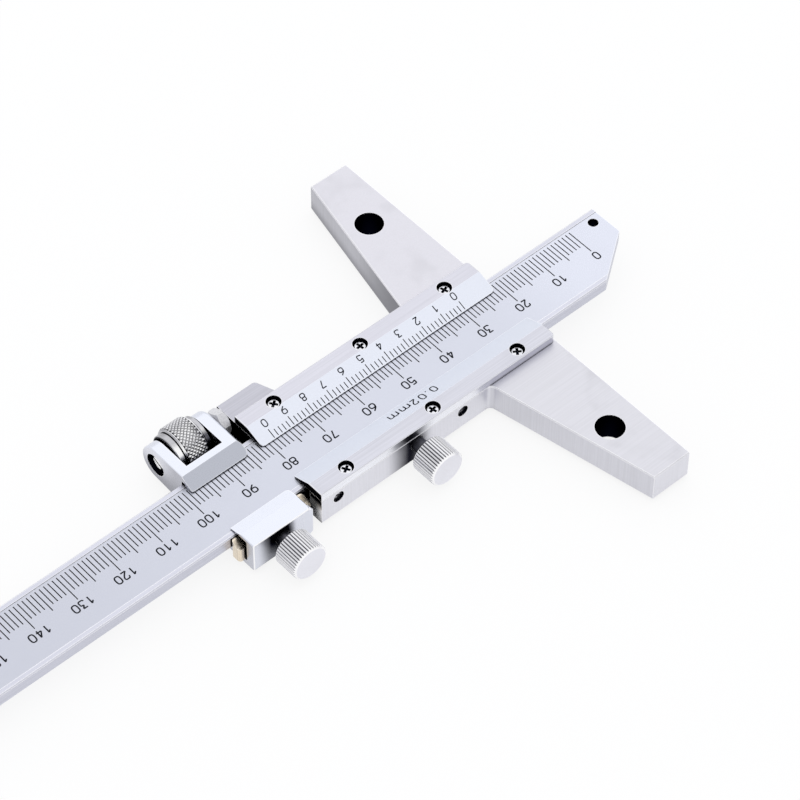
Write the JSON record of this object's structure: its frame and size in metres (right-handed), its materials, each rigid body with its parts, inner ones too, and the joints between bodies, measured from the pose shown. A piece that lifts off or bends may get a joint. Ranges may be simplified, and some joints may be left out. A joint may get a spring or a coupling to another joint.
{
  "type": "vernier depth gauge",
  "caption": "Steel vernier depth gauge: graduated sliding beam through a tapered crosspiece, with fine adjustment carriage and knurled clamp screws.",
  "frame": {"origin": "centre of the measuring face of the crosspiece", "axes": "+X out of the measuring face along the beam to its tip, +Y along the crosspiece towards the fine adjustment nut, +Z out of the scale face"},
  "size_m": [0.24, 0.1, 0.0106],
  "materials": {
    "satin_scale": "satin hard chrome plating",
    "satin_plate": "satin plating on the bevels, ground flats",
    "ground_steel": "surface ground",
    "polished_steel": "fine polished",
    "bright_knurl": "bright plated knurl",
    "screw_steel": "turned",
    "bronze": "rolled strip"
  },
  "bodies": {
    "slider": {"slider_base": "ground_steel", "vernier_plate": "satin_plate", "cover_plate": "satin_plate", "gib": "bronze", "adjusting_rod": "screw_steel", "rod_lock_nut": "screw_steel", "vernier_screw_front": "screw_steel", "vernier_screw_middle": "screw_steel", "vernier_screw_rear": "screw_steel", "cover_screw_front": "screw_steel", "cover_screw_middle": "screw_steel", "cover_screw_rear": "screw_steel", "gib_screw_front": "screw_steel", "gib_screw_rear": "screw_steel"},
    "beam": {"beam": "satin_scale"},
    "carriage": {"carriage": "polished_steel", "carriage_leaf": "bronze"},
    "adjusting_nut": {"adjusting_nut": "bright_knurl"},
    "slider_lock": {"slider_lock_screw": "bright_knurl"},
    "carriage_clamp": {"carriage_clamp_screw": "bright_knurl"}
  },
  "joints": [
    {"name": "beam_slide", "type": "slide", "parent": "slider", "child": "beam", "axis": [1, 0, 0], "range_m": [-0.02942, 0.12058]},
    {"name": "carriage_slide", "type": "slide", "parent": "slider", "child": "carriage", "axis": [1, 0, 0], "range_m": [-0.0045, 0.0004]},
    {"name": "nut_spin", "type": "hinge", "parent": "carriage", "child": "adjusting_nut", "pos_m": [-0.0702, 0.01607, 0.0013], "axis": [1, 0, 0], "range_deg": [-3245, 293]},
    {"name": "slider_lock_turn", "type": "hinge", "parent": "slider", "child": "slider_lock", "pos_m": [-0.0362, -0.01845, 0.0013], "axis": [0, 1, 0], "range_deg": [-720, 36]},
    {"name": "carriage_clamp_turn", "type": "hinge", "parent": "carriage", "child": "carriage_clamp", "pos_m": [-0.0702, -0.01815, 0.0013], "axis": [0, 1, 0], "range_deg": [-720, 36]}
  ],
  "couplings": [
    {"joint": "nut_spin", "follows": "carriage_slide", "rad_per_m": 12566}
  ]
}
